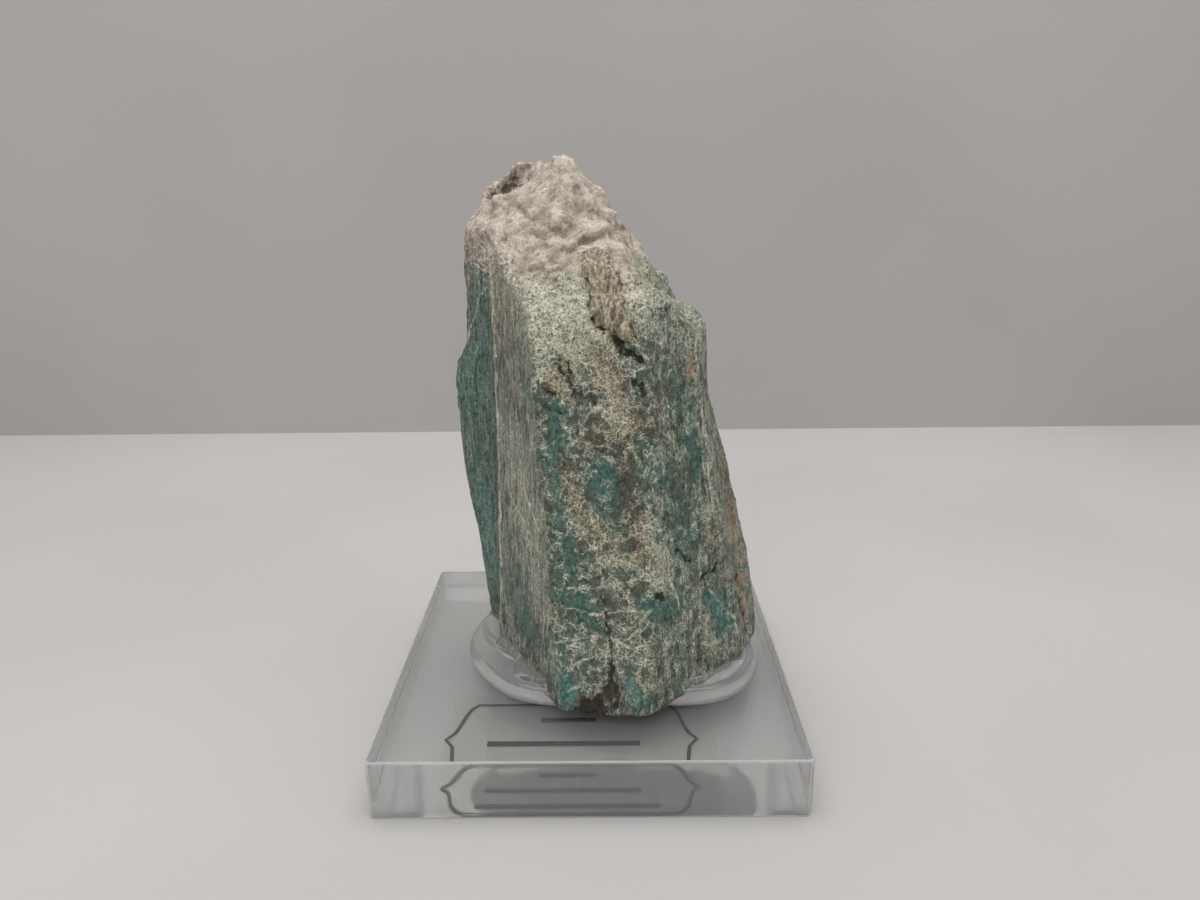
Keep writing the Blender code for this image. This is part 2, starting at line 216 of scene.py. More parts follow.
# The skin's relief: how many of each come to a millimetre, and how high or deep they are
LUMPS_PER_MM = 0.30
SMALL_LUMPS_PER_MM = 0.85
GRAINS_PER_MM = 1.9
PORES_PER_MM = 0.9
RIBS_PER_MM = (1.6, 1.6, 0.09)
CHIPS_PER_MM = (0.5, 0.5, 0.3)
SLAB_LINES_PER_MM = (1.3, 1.3, 0.06)
PORE_DEPTH = 0.2
CHIP_DEPTH = 0.14
SLAB_LINE_HEIGHT = 0.10
SLAB_HEIGHT = 0.50
RING_HEIGHT = 0.35
HOLLOW_DEPTH = 1.0

# The felt of veins. Its nets: the cells per millimetre, how far a line reaches into a cell, the strength
FELT_NETS = ((0.75, 0.075, 1.0), (1.75, 0.130, 0.92))
# Its hairs: the tilt about Y in degrees, the scale along X, Y and Z per millimetre, the strength
FELT_HAIRS = ((31, (2.90, 2.90, 0.50), 0.94), (-44, (3.10, 3.10, 0.56), 0.94))
FELT_BEND = (0.55, 0.55, 0.55)
HAIR_REACH = 0.050

# Noises of the crystal's colours: the scale per millimetre, the detail, the roughness and the distortion
CLOUDS = (0.42, 4.0, 0.6, 0.4)
GLOOM = (1.2, 4.0, 0.65)
RAGGED_EDGES = (1.3, 4.0, 0.7)
SPECKLE = (2.7, 2.0, 0.65)
FINE_SPECKLE = (5.6, 1.0)
# Upright ones: the scale along X, Y and Z per millimetre
STREAKS_PER_MM = (3.4, 3.4, 0.24)
STRIPES_PER_MM = (2.4, 2.4, 0.10)
COMBED_PER_MM = (1.6, 1.6, 0.30)

# How much of what lies under it each layer of the crystal's colours hides, from 0 to 1
COVER = {
    "bright patches": 0.9,
    "brown patches": 0.80,
    "stained veins": 0.75,
    "grey film": 0.8,
    # painted shade in the crust's creases and pores
    "crust hollows": 0.68,
    "striped slab": 0.62,
    # painted shade in the cavity at the top
    "dark hollow": 0.92,
    "rust": 0.72,
    # painted shade in the cracks and pits
    "cracks": 0.9,
}

# The specular level of the matt surfaces, and the height of their fine bumps
MATT_SPECULAR = 0.25
GRIT_HEIGHT = 0.14
GRIT_STRENGTH = 0.8
FIBRE_HEIGHT = 0.02

# Clear finishes: the index of refraction, the least and the most roughness, the streaks along X, Y and Z per
# millimetre, their height and how clear it is, where less than 1 is hazy
CLEAR_FINISHES = {
    "polished acrylic": (1.49, 0.01, 0.035, (0.4, 0.4, 0.4), 0.002, 0.93),
    "sawn acrylic": (1.49, 0.06, 0.20, (1.4, 1.4, 0.06), 0.016, 0.86),
    "broken edges": (1.49, 0.35, 0.6, (0.8, 0.8, 0.8), 0.01, 0.6),
    "clear adhesive": (1.44, 0.03, 0.12, (0.25, 0.25, 0.25), 0.06, 0.85),
    "label film": (1.02, 0.0, 0.02, (0.5, 0.5, 0.5), 0.001, 1.0),
}

# The pad: how far each of its rings against the crystal is from it, with its share of the climb, the heights
# between which it touches the crystal, how far it sinks into the base and the widest ledge round the crystal
PAD_CLIMB = ((1.0, 0.0), (0.55, 0.12), (0.2, 0.45), (-0.1, 1.0), (-0.8, 1.0))
FOOT_HEIGHTS = (8, 12.5)
PAD_SUNK = 0.03
PAD_LEDGE = 1.3

# The label film, under the base
FILM_BOTTOM = 0.05
FILM_THICKNESS = 0.1
FILM_CORNER = 1.5

# The printed border's right half as (x, y) from the border's middle, and the ruled lines as (x, y)
BORDER_CENTRE = (-2.4, -16.3)
BORDER_HALF = (
    (0, 7.3), (12.2, 7.3), (13.0, 6.4), (13.5, 5.0), (14.0, 2.8), (14.4, 1.4), (15.4, 0.0),
    (14.4, -1.4), (14.1, -3.4), (13.9, -5.4), (13.2, -7.0), (12.2, -8.0), (0, -8.0),
)
RULED_LINES = (((-13.5, -21.9), (8.1, -21.9)), ((-12.6, -17.1), (6.0, -17.1)), ((-6.4, -12.3), (0.6, -12.3)))
INK_HEIGHT = 0.16
INK_THICKNESS = 0.03

# The stage and the camera. Angles are in degrees, and the sheets and the soft lights are in metres
CAMERA_PLACE = (2.313, -112.098, 71.076)
CAMERA_PITCH = 17.296
CAMERA_YAW = 0.472
CAMERA_ROLL = -0.635
CAMERA_LENS = 27.254
FLOOR_GAP = 0.05
WALL_Y = 135
SHEET_SIDE = 1.6
TOP_LIGHT_PLACE = (0.0, 0.02, 0.42)
TOP_LIGHT_SIZE = (0.42, 0.34)
FRONT_LIGHT_PLACE = (-0.10, -0.42, 0.34)
FRONT_LIGHT_SIZE = (0.40, 0.30)
LIGHTS_AIM = (0, 0, 0.03)
SURROUND_COLOUR = (1.0, 0.99, 0.98, 1)


def smooth_step(low, high, value):
    """0 up to low, 1 from high on, and a smooth rise between them."""
    along = np.clip((value - low) / (high - low), 0, 1)
    return along * along * (3 - 2 * along)


def select_only(thing):
    """Leaves only this object selected and active, in object mode."""
    bpy.ops.object.select_all(action="DESELECT")
    thing.select_set(True)
    bpy.context.view_layer.objects.active = thing


def apply_modifier(thing, kind, **settings):
    """Adds a modifier of this kind with these settings and applies it."""
    select_only(thing)
    made = thing.modifiers.new(kind.lower(), kind)
    for name, value in settings.items():
        setattr(made, name, value)
    bpy.ops.object.modifier_apply(modifier=made.name)


def add_primitive(name, add, **settings):
    """A primitive under this name, made by one of Blender's operators and alone selected."""
    bpy.ops.object.select_all(action="DESELECT")
    add(**settings)
    made = bpy.context.object
    made.name = name
    return made


def apply_place(thing):
    """Puts the object's place, turn and size in its mesh."""
    select_only(thing)
    bpy.ops.object.transform_apply(location=True, rotation=True, scale=True)


def finish_piece(piece, slot, *nodes):
    """Puts the piece's place in its mesh, lets it ride on the body and stand for these CAD nodes."""
    apply_place(piece)
    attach(piece, "root")
    if nodes:
        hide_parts(*nodes)


def points_of(mesh):
    """The mesh's points in millimetres and their normals, as two arrays."""
    points = np.empty(len(mesh.vertices) * 3, np.float32)
    mesh.vertices.foreach_get("co", points)
    normals = np.empty(len(mesh.vertices) * 3, np.float32)
    mesh.vertex_normals.foreach_get("vector", normals)
    return points.reshape(-1, 3) / MM, normals.reshape(-1, 3)


def waves(points, per_mm, octaves=3):
    """Fractal noise from about -1 to 1 at each point."""
    smoothness, step = 0.9, 2.0
    scaled = (points * np.array(per_mm)).tolist()
    return np.array([noise.fractal(point, smoothness, step, octaves) for point in scaled])


def wander(points, per_mm, shifts, octaves):
    """Fractal noises at each point, one for each shift, as a wander of its place."""
    return np.column_stack([waves(points + shift, per_mm, octaves) for shift in shifts])


def cells(points, per_mm):
    """How far each point is inside an irregular cell: 0 on the walls and up to 1 in the middle."""
    found = [noise.voronoi(point)[0][:2] for point in (points * np.array(per_mm)).tolist()]
    near, far = np.array(found).T
    middle = 0.8
    return np.clip((far - near) / middle, 0, 1)


def route_nearness(places, route, radius):
    """1 on a route of points, falling evenly to 0 at this distance from it."""
    nearest = np.full(len(places), np.inf)
    for start, end in zip(route, route[1:]):
        start = np.array(start)
        along = np.array(end) - start
        share = np.clip(((places - start) @ along) / (along @ along), 0, 1)
        nearest = np.minimum(nearest, np.linalg.norm(places - start - share[:, None] * along, axis=1))
    return np.clip(1 - nearest / radius, 0, 1)


class Tree:
    """A node tree under way. Values are numbers, tuples or the sockets of other nodes."""

    def __init__(self, node_tree):
        self.node_tree = node_tree

    def put(self, value, socket):
        """Links a socket to this input, or sets any other value on it."""
        if isinstance(value, bpy.types.NodeSocket):
            self.node_tree.links.new(value, socket)
        else:
            socket.default_value = value

    def node(self, kind, inputs=None, **settings):
        """A new node with these settings, and with its inputs given by name or number."""
        made = self.node_tree.nodes.new(kind)
        for name, value in settings.items():
            setattr(made, name, value)
        for name, value in (inputs or {}).items():
            self.put(value, made.inputs[name])
        return made

    def maths(self, operation, *values):
        """The result of a maths node."""
        return self.node("ShaderNodeMath", dict(enumerate(values)), operation=operation).outputs[0]

    def chain(self, operation, first, *others):
        """The values brought together one after the other by a maths operation."""
        for other in others:
            first = self.maths(operation, first, other)
        return first

    def total(self, *values):
        return self.chain("ADD", *values)

    def product(self, *values):
        return self.chain("MULTIPLY", *values)

    def ramp(self, value, low, high, start=0.0, end=1.0):
        """The value brought smoothly from low..high to start..end."""
        inputs = {0: value, 1: low, 2: high, 3: start, 4: end}
        return self.node("ShaderNodeMapRange", inputs, interpolation_type="SMOOTHSTEP").outputs[0]

    def mix(self, share, under, over, blend="MIX"):
        """A share of one colour laid over another."""
        inputs = {0: share, 6: solid(under), 7: solid(over)}
        return self.node("ShaderNodeMix", inputs, data_type="RGBA", blend_type=blend).outputs[2]

    def grey(self, value):
        """A value as a grey colour."""
        return self.node("ShaderNodeCombineColor", dict.fromkeys(range(3), value)).outputs[0]

    def noise_at(self, place, scale, detail=2.0, roughness=0.5, distortion=0.0):
        """A cloudy noise from about 0 to 1."""
        names = ("Vector", "Scale", "Detail", "Roughness", "Distortion")
        inputs = dict(zip(names, (place, scale, detail, roughness, distortion)))
        return self.node("ShaderNodeTexNoise", inputs).outputs["Fac"]

    def stretched(self, place, scale):
        """The place scaled along X, Y and Z."""
        return self.node("ShaderNodeMapping", {"Vector": place, "Scale": scale}).outputs["Vector"]

    def attribute(self, name):
        """A mask that is stored on the mesh's points."""
        return self.node("ShaderNodeAttribute", attribute_name=name).outputs["Fac"]

    def group(self, kind, inputs):
        """The outputs of a shared node group that is placed with these inputs."""
        return self.node("ShaderNodeGroup", inputs, node_tree=shared_group(kind)).outputs

    def bump(self, shader, height, distance, strength=1.0):
        """Raises the surface by a height from 0 to 1 times a distance in metres."""
        inputs = {"Height": height, "Distance": distance, "Strength": strength}
        self.put(self.node("ShaderNodeBump", inputs).outputs["Normal"], shader.inputs["Normal"])


def solid(colour):
    """A colour as four numbers. A socket stays as it is."""
    if isinstance(colour, bpy.types.NodeSocket):
        return colour
    return (*colour, 1)


def new_material(name):
    """A material, its tree, its shader and the object's coordinates in millimetres."""
    made = bpy.data.materials.new(name)
    made.use_nodes = True
    tree = Tree(made.node_tree)
    coordinates = tree.node("ShaderNodeTexCoord").outputs["Object"]
    place = tree.stretched(coordinates, (1 / MM, 1 / MM, 1 / MM))
    return made, tree, made.node_tree.nodes["Principled BSDF"], place


def shared_group(kind):
    """A node group that several materials or places use, built the first time it is asked for."""
    name, vectors, numbers, outputs, build = kind
    group = bpy.data.node_groups.get(name)
    if group is None:
        group = bpy.data.node_groups.new(name, "ShaderNodeTree")
        sockets = [(label, "INPUT", "NodeSocketVector") for label in vectors]
        sockets += [(label, "INPUT", "NodeSocketFloat") for label in numbers]
        sockets += [(label, "OUTPUT", "NodeSocketFloat") for label in outputs]
        for label, in_out, socket_type in sockets:
            group.interface.new_socket(label, in_out=in_out, socket_type=socket_type)
        given = group.nodes.new("NodeGroupInput").outputs
        result = group.nodes.new("NodeGroupOutput").inputs
        tree = Tree(group)
        for value, label in zip(build(tree, given), outputs):
            tree.put(value, result[label])
    return group


def build_felt(tree, given):
    """Fine curved pale hairs: the wider the cover, the closer they lie, down to dark pores between them."""
    inputs = {"Vector": given["Place"], "Scale": 1.1, "Detail": 0.0}
    bend = tree.node("ShaderNodeTexNoise", inputs).outputs["Color"]
    inputs = {0: bend, 1: FELT_BEND, 2: given["Place"]}
    place = tree.node("ShaderNodeVectorMath", inputs, operation="MULTIPLY_ADD").outputs[0]
    lines = []
    for per_mm, reach, strength in FELT_NETS:
        inputs = {"Vector": place, "Scale": per_mm}
        net = tree.node("ShaderNodeTexVoronoi", inputs, feature="DISTANCE_TO_EDGE")
        lines.append(tree.ramp(net.outputs["Distance"], 0.0, reach, strength, 0.0))
    for tilt, per_mm, strength in FELT_HAIRS:
        inputs = {"Vector": place, "Rotation": (0, math.radians(tilt), 0)}
        tilted = tree.node("ShaderNodeMapping", inputs).outputs["Vector"]
        field = tree.noise_at(tree.stretched(tilted, per_mm), 1.0, 1.0)
        off_middle = tree.maths("ABSOLUTE", tree.maths("SUBTRACT", field, 0.5))
        lines.append(tree.ramp(off_middle, 0.0, HAIR_REACH, strength, 0.0))
    fade = tree.ramp(tree.noise_at(place, 0.9, 1.0), 0.36, 0.60, 0.72, 1.0)
    hairs = tree.product(tree.chain("MAXIMUM", *lines), fade)
    least = tree.ramp(given["Cover"], 0.0, 1.0, 1.08, 0.16)
    return (tree.ramp(tree.maths("SUBTRACT", hairs, least), -0.10, 0.12),)


def build_clear_surface(tree, given):
    """The fine streaks and wide smudges of a clear surface, and the roughness that the streaks give it."""
    streaks = tree.noise_at(tree.stretched(given["Place"], given["Streaks per mm"]), 1.0, 3.0, 0.6)
    smudges = tree.ramp(tree.noise_at(given["Place"], 0.08, 3.0), 0.3, 0.7)
    roughness = tree.ramp(streaks, 0.3, 0.7, given["Least roughness"], given["Most roughness"])
    return streaks, smudges, roughness


def build_card(tree, given):
    """The fibres, wide clouds and few specks of card, and its roughness."""
    fibres = tree.noise_at(given["Place"], 1.2, 3.0, 0.6)
    clouds = tree.ramp(tree.noise_at(given["Place"], 0.012, 2.0), 0.3, 0.7)
    specks = tree.ramp(tree.noise_at(given["Place"], 0.35, 0.0), 0.80, 0.84)
    return fibres, clouds, tree.product(specks, 0.3), tree.ramp(fibres, 0.3, 0.7, 0.6, 0.75)


# Shared node groups: the name, the vector inputs, the number inputs, the outputs and the builder
FELT = ("felt of veins", ("Place",), ("Cover",), ("Felt",), build_felt)
CLEAR_SURFACE = (
    "clear surface", ("Place", "Streaks per mm"), ("Least roughness", "Most roughness"),
    ("Streaks", "Smudges", "Roughness"), build_clear_surface,
)
CARD = ("card", ("Place",), (), ("Fibres", "Clouds", "Specks", "Roughness"), build_card)


def colour(name, description, default):
    """A colour that a user can change."""
    return bpy.props.FloatVectorProperty(name=name, description=description, default=default, subtype="COLOR")


def length(name, description, default):
    """A length in metres that a user can change."""
    return bpy.props.FloatProperty(name=name, description=description, default=default, unit="LENGTH")


class CrystalLook(bpy.types.PropertyGroup):
    """The crystal's sizes and colours"""

    voxel: length("Skin detail", "Side of the voxels of the crystal's skin", 0.00031)
    lump: length("Crust lumps", "Height of the crust's lumps", 0.00037)
    grain: length("Crust grain", "Height of the crust's grain", 0.00017)
    ribbing: length("Growth lines", "Height of the faces' upright lines", 0.00008)
    olive: colour("Olive", "Dark green between the veins", (0.096, 0.102, 0.073))
    green: colour("Blue-green", "Body colour", (0.072, 0.152, 0.125))
    bright: colour("Bright green", "Clean patches", (0.112, 0.255, 0.226))
    vein: colour("Cool veins", "Greenish pale veins", (0.60, 0.595, 0.475))
    cream: colour("Cream veins", "Warmer pale veins", (0.74, 0.67, 0.51))
    tan: colour("Tan", "Stained veins", (0.50, 0.425, 0.295))
    # Brown of the stained ground, also used for the painted shade in the cavity at the top
    brown: colour("Brown", "Stained ground", (0.088, 0.066, 0.049))
    film: colour("Film", "Grey film on the left faces", (0.230, 0.246, 0.212))
    lavender: colour("Lavender film", "Film where it is stained", (0.31, 0.275, 0.245))
    crust: colour("Crust", "Cream rough crust", (0.625, 0.553, 0.465))
    rose: colour("Rosy crust", "Pinkish parts of the crust", (0.565, 0.485, 0.42))
    # Painted shade in the crust's creases, pores and cuts
    hollow: colour("Hollows", "Brownish hollows of the crust", (0.22, 0.165, 0.125))
    rust: colour("Rust", "Iron stains", (0.40, 0.245, 0.160))
    # Painted shade in the cracks and pits
    crack_shade: colour("Dark seams", "Cracks and pits", (0.032, 0.026, 0.020))


def crystal_skin(look):
    """A merged copy of the crystal's solid with a fine even skin."""
    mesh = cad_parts["amazonite"].data.copy()
    mesh.materials.clear()
    crystal = bpy.data.objects.new("amazonite_crystal", mesh)
    bpy.context.scene.collection.objects.link(crystal)
    select_only(crystal)
    bpy.ops.object.mode_set(mode="EDIT")
    bpy.ops.mesh.select_all(action="SELECT")
    bpy.ops.mesh.remove_doubles(threshold=0.001 * MM)
    bpy.ops.object.mode_set(mode="OBJECT")
    apply_modifier(crystal, "REMESH", mode="VOXEL", voxel_size=look.voxel)
    apply_modifier(crystal, "SMOOTH", factor=0.5, iterations=7)
    return crystal


def facing_front(normals):
    """1 at points that face the front or a side and 0 at those that face the back."""
    return 1 - smooth_step(-0.05, 0.25, normals[:, 1])


def patch_mask(places, patches):
    """The strongest of the patches at each place."""
    found = [strength * route_nearness(places, route, width) for route, width, strength in patches]
    return np.max(found, axis=0)


def ring_route():
    """The uneven line of the ring-shaped mark, as (x, z) points."""
    first_turn, last_turn, count = 0.3, 4.9, 12
    return [
        (
            RING_CENTRE[0] + RING_RADIUS * (1 + 0.14 * math.sin(2 * turn)) * math.cos(turn),
            RING_CENTRE[1] + RING_RADIUS * (1 + 0.10 * math.cos(3 * turn)) * math.sin(turn),
        )
        for turn in np.linspace(first_turn, last_turn, count)
    ]


def crystal_masks(points, normals):
    """The named masks of the crystal's patches, veins, crust and faces, from 0 to 1 at each point."""
    x, _, z = points.T
    front = facing_front(normals)
    edges = wander(points, 0.35, (0, 37), 4)
    places = np.column_stack([x, z]) + edges * PATCH_WANDER
    masks = {name: patch_mask(places, patches) * front for name, patches in PATCHES.items()}
    places = np.column_stack([x, z]) + edges * VEIN_WANDER
    lines = [route_nearness(places, route, 1.0) for route in (*VEINS, ring_route())]
    masks["vein"] = np.max(lines, axis=0) * front

    right = np.clip(x - CRUST_RIGHT, 0, None)
    height = z + CRUST_FOR_TOPS * normals[:, 2] - CRUST_RISE * right * front
    height = height + CRUST_WANDER * waves(points, 0.22, 4)
    near_crust = smooth_step(CRUST_FROM - 7, CRUST_FROM + 4, height)
    slab = smooth_step(0.05, 0.22, route_nearness(places, *SLAB)) * front
    masks["crust"] = smooth_step(CRUST_FROM, CRUST_WHOLE, height) * (1 - 0.6 * slab)
    masks["slab"] = slab
    # The cavity at the top, which gets painted shade
    masks["cavity"] = route_nearness(points, *HOLLOW)

    left, ridge, fold = (np.interp(z, LINE_HEIGHTS, line) for line in (LEFT_LINE, RIDGE_LINE, FOLD_LINE))
    left_side = (1 - smooth_step(left - 0.6, left, x)) * front
    left_front = smooth_step(left - 0.2, left + 0.4, x)
    left_front = left_front * (1 - smooth_step(ridge - 1.2, ridge + 0.2, x)) * front
    right_front = smooth_step(fold, fold + 1.5, x)
    foot = smooth_step(15, 10, z)
    masks["upright"] = np.clip(left_front + left_side + 0.6 * right_front + foot + slab, 0, 1)
    plain = 1 - 0.7 * left_side - 0.35 * left_front - 0.5 * smooth_step(6, 10, x) * front
    back = smooth_step(0.1, 0.5, normals[:, 1])
    not_front = 1 - front

    def add(name, mask):
        masks[name] = np.maximum(masks.get(name, 0), mask)

    add("warm", 0.9 * slab)
    add("film", left_front * (0.25 + 0.75 * smooth_step(8, 34, z)))
    add("film", back * smooth_step(-0.1, 0.4, waves(points, 0.12)))
    add("film", 0.55 * left_side)
    add("bare", left_side * (1 - 0.4 * near_crust))
    add("bare", not_front * smooth_step(0.0, 0.5, waves(points + 53, 0.14)))
    add("dense", 0.72 * near_crust * np.clip(plain, 0, 1))
    add("dense", not_front * 0.7 * smooth_step(0.0, 0.5, waves(points + 19, 0.16)))
    add("warm", not_front * 0.8 * smooth_step(0.1, 0.6, waves(points + 83, 0.13)))
    return masks


def crust_relief(points, grains, look):
    """The height of the crust's lumps, grains and pores at each point, and how much painted shade its creases
    and pores get.
    """
    shifts = (3, 47, 91)
    lumps = cells(points + 0.9 * wander(points, 0.5, shifts, 2), LUMPS_PER_MM)
    small_lumps = cells(points + 11 + 0.3 * wander(points, 1.4, shifts, 2), SMALL_LUMPS_PER_MM)
    pores = smooth_step(0.35, 0.6, waves(points, PORES_PER_MM, 2))
    height = (np.sqrt(lumps) - 0.8 + 0.35 * (np.sqrt(small_lumps) - 0.8)) * look.lump / MM
    height += grains * look.grain / MM - PORE_DEPTH * pores
    # The creases between the lumps, here and there, and the pores get painted shade
    creases = 1 - smooth_step(0.0, 0.35, np.minimum(lumps, 0.12 + small_lumps))
    creases *= smooth_step(-0.35, 0.25, waves(points + 61, 0.3))
    return height, creases + 0.5 * pores


def face_relief(points, grains, look):
    """The height of the growth lines, chips and grains on the crystal's faces at each point."""
    ribs = waves(points, RIBS_PER_MM, 3) * look.ribbing / MM
    chips = -CHIP_DEPTH * smooth_step(0.25, 0.45, waves(points, CHIPS_PER_MM, 3))
    return ribs + chips + 0.35 * grains * look.grain / MM


def crystal_relief(points, normals, masks, look):
    """How far the skin moves out at each point, in millimetres. Adds the masks of the painted shade in the
    creases and in the cracks.
    """
    grains = waves(points, GRAINS_PER_MM, 2)
    rough, hollows = crust_relief(points, grains, look)
    flat = face_relief(points, grains, look)

    front = facing_front(normals)
    places = points[:, [0, 2]] + CUT_WANDER * wander(points, 0.9, (5, 71), 4)
    uneven = 1 + 0.5 * waves(points + 29, 0.8, 2)
    cut = np.zeros(len(points))
    # The cracks and pits are cut into the skin, and their darkness is painted shade
    masks["crack"] = np.zeros(len(points))
    for route, width, depth, darkness in CUTS:
        nearness = np.clip(route_nearness(places, route, 1.3 * width) * uneven, 0, 1) * front
        cut = np.maximum(cut, smooth_step(0.2, 1, nearness) * depth)
        masks["crack"] = np.maximum(masks["crack"], nearness * darkness)
    # The crust's creases, pores and cuts get painted shade
    masks["hollow"] = np.clip(hollows + cut * 1.5, 0, 1)

    slab = masks["slab"]
    ring = np.clip(1 - np.hypot(*(places - RING_CENTRE).T) / (RING_RADIUS + 0.5), 0, 1) * front
    lines = SLAB_LINE_HEIGHT * waves(points, SLAB_LINES_PER_MM, 1) * slab
    raised = RING_HEIGHT * smooth_step(0, 0.5, ring) + SLAB_HEIGHT * slab + lines
    sunk = HOLLOW_DEPTH * smooth_step(0, 0.7, masks["cavity"])
    rough_share = np.clip(masks["crust"] + 0.55 * masks["dense"] + 0.6 * masks["warm"], 0, 1)
    rough_share = rough_share * (1 - 0.85 * slab)
    return rough_share * rough + (1 - rough_share) * flat - cut + raised - sunk


class CrystalPaint(Tree):
    """The crystal's colours, laid layer over layer from its masks and a few shared noises."""

    def __init__(self, node_tree, place, look):
        super().__init__(node_tree)
        self.place = place
        self.look = look
        names = (*PATCHES, "vein", "crust", "film", "upright", "crack", "hollow", "slab", "cavity")
        self.masks = {name: self.attribute(name) for name in names}
        self.clouds = self.noise_at(place, *CLOUDS)
        self.speckle = self.noise_at(place, *SPECKLE)
        self.fine_speckle = self.noise_at(place, *FINE_SPECKLE)
        self.streaks = self.noise_at(self.stretched(place, STREAKS_PER_MM), 1.0, 3.0, 0.6)
        self.ragged = self.ramp(self.noise_at(place, *RAGGED_EDGES), 0.25, 0.75, -0.42, 0.42)
        self.bare = self.zone("bare", 0.0, 0.9)
        self.warm = self.zone("warm")

    def zone(self, name, low=0.1, high=0.9):
        """A mask with ragged edges."""
        return self.ramp(self.total(self.masks[name], self.ragged), low, high)

    def cover(self, layer, share, under, over):
        """One colour over another, as far as the share and the layer's cover go."""
        return self.mix(self.product(share, COVER[layer]), under, over)

    def ground(self):
        """The olive and blue-green body with its bright and brown patches."""
        green_share = self.total(self.ramp(self.clouds, 0.36, 0.60, 0.15, 0.8), self.product(self.bare, 0.6))
        body = self.mix(green_share, self.look.olive, self.look.green)
        body = self.cover("bright patches", self.zone("bright"), body, self.look.bright)
        body = self.cover("brown patches", self.warm, body, self.look.brown)
        gloom = self.ramp(self.noise_at(self.place, *GLOOM), 0.36, 0.60, 0.58, 1.10)
        return self.mix(1.0, body, self.grey(gloom), "MULTIPLY")

    def film(self, body):
        """The streaky grey film of the left faces, lavender where it is stained."""
        share = self.product(self.zone("film"), self.ramp(self.streaks, 0.38, 0.58, 0.05, 0.95))
        return self.cover("grey film", share, body, self.mix(self.warm, self.look.film, self.look.lavender))

    def hairs(self, body):
        """The felt of pale veins, tangled or combed upright on the straight faces."""
        dense, upright = self.masks["dense"], self.masks["upright"]
        density = self.total(self.ramp(self.clouds, 0.30, 0.70, 0.30, 0.46), self.product(dense, 0.38))
        density = self.maths("SUBTRACT", density, self.product(self.bare, 0.17))
        combed_place = self.stretched(self.place, COMBED_PER_MM)
        tangled = self.group(FELT, {"Place": self.place, "Cover": density})["Felt"]
        combed = self.group(FELT, {"Place": combed_place, "Cover": density})["Felt"]
        tangled = self.product(tangled, self.ramp(upright, 0.0, 1.0, 1.0, 0.35))
        combed = self.product(combed, self.ramp(upright, 0.0, 1.0, 0.12, 0.85))
        hairs = self.maths("MINIMUM", self.total(tangled, combed), 1.0)

        sandy = self.total(self.ramp(self.speckle, 0.42, 0.72), self.product(dense, 0.45))
        pale = self.mix(self.maths("MINIMUM", sandy, 1.0), self.look.vein, self.look.cream)
        pale = self.cover("stained veins", self.warm, pale, self.look.tan)
        return self.mix(self.product(hairs, self.ramp(self.masks["film"], 0.0, 1.0, 0.86, 0.55)), body, pale)

    def sand(self, body):
        """Pale and tan grains where the veins are dense."""
        share = self.product(self.zone("dense", 0.1, 1.0), self.ramp(self.speckle, 0.38, 0.60, 0.10, 0.62))
        tint = self.mix(self.ramp(self.ragged, -0.2, 0.2, 0.0, 0.75), self.look.vein, self.look.tan)
        return self.mix(share, body, tint)

    def veins(self, body):
        """The placed cream veins, fainter here and there."""
        line = self.ramp(self.total(self.masks["vein"], self.product(self.ragged, 0.24)), 0.79, 0.95)
        faint = self.ramp(self.noise_at(self.place, 0.7, 3.0), 0.36, 0.60, 0.25, 0.75)
        return self.mix(self.product(line, faint), body, self.look.cream)

    def crust(self, body):
        """The cream and rosy crust with brownish painted shade in its creases and pores, breaking up into
        grains at its edge.
        """
        crust = self.masks["crust"]
        cream = self.mix(self.ramp(self.clouds, 0.35, 0.65), self.look.crust, self.look.rose)
        # Painted shade in the crust's creases and pores
        cream = self.cover("crust hollows", self.masks["hollow"], cream, self.look.hollow)
        grains = self.total(self.product(self.ragged, 0.75), self.ramp(self.speckle, 0.3, 0.7, -0.25, 0.25))
        sand = self.total(crust, self.product(grains, self.ramp(crust, 0.0, 0.3)))
        return self.mix(self.ramp(sand, 0.16, 0.66), body, cream)

    def stains_and_shade(self, body):
        """The striped slab, the painted shade in the cavity at the top, the rust and the painted shade in the
        cracks.
        """
        stripes = self.noise_at(self.stretched(self.place, STRIPES_PER_MM), 1.0, 1.0)
        striped = self.mix(self.ramp(stripes, 0.38, 0.60), self.look.brown, self.look.tan)
        body = self.cover("striped slab", self.masks["slab"], body, striped)
        # Painted shade in the sunken cavity at the top, in the brown of the stained ground
        body = self.cover("dark hollow", self.zone("cavity", 0.10, 0.60), body, self.look.brown)
        body = self.cover("rust", self.zone("rust", 0.25, 0.85), body, self.look.rust)
        # Painted shade in the cracks and pits
        gap = self.total(self.masks["crack"], self.product(self.ragged, 0.45))
        return self.cover("cracks", self.ramp(gap, 0.47, 0.70), body, self.look.crack_shade)

    def shade(self, body):
        """Speckled light and dark, softer on the crust and streaked on the straight faces."""
        coarse = self.ramp(self.speckle, 0.34, 0.66, 0.76, 1.24)
        shade = self.product(coarse, self.ramp(self.fine_speckle, 0.3, 0.7, 0.80, 1.20))
        softer = self.product(self.masks["crust"], 0.40, self.maths("SUBTRACT", 1.0, shade))
        combed = self.maths("SUBTRACT", self.ramp(self.streaks, 0.36, 0.62, 0.72, 1.12), 1.0)
        combed = self.total(1.0, self.product(self.masks["upright"], 0.8, combed))
        shade = self.product(self.total(shade, softer), combed)
        return self.mix(1.0, body, self.grey(shade), "MULTIPLY")

    def roughness(self):
        """Rough on the crust, smoother on the faces and uneven on both."""
        rough = self.ramp(self.masks["crust"], 0.2, 0.8, 0.46, 0.85)
        return self.total(rough, self.ramp(self.speckle, 0.3, 0.7, -0.08, 0.10))


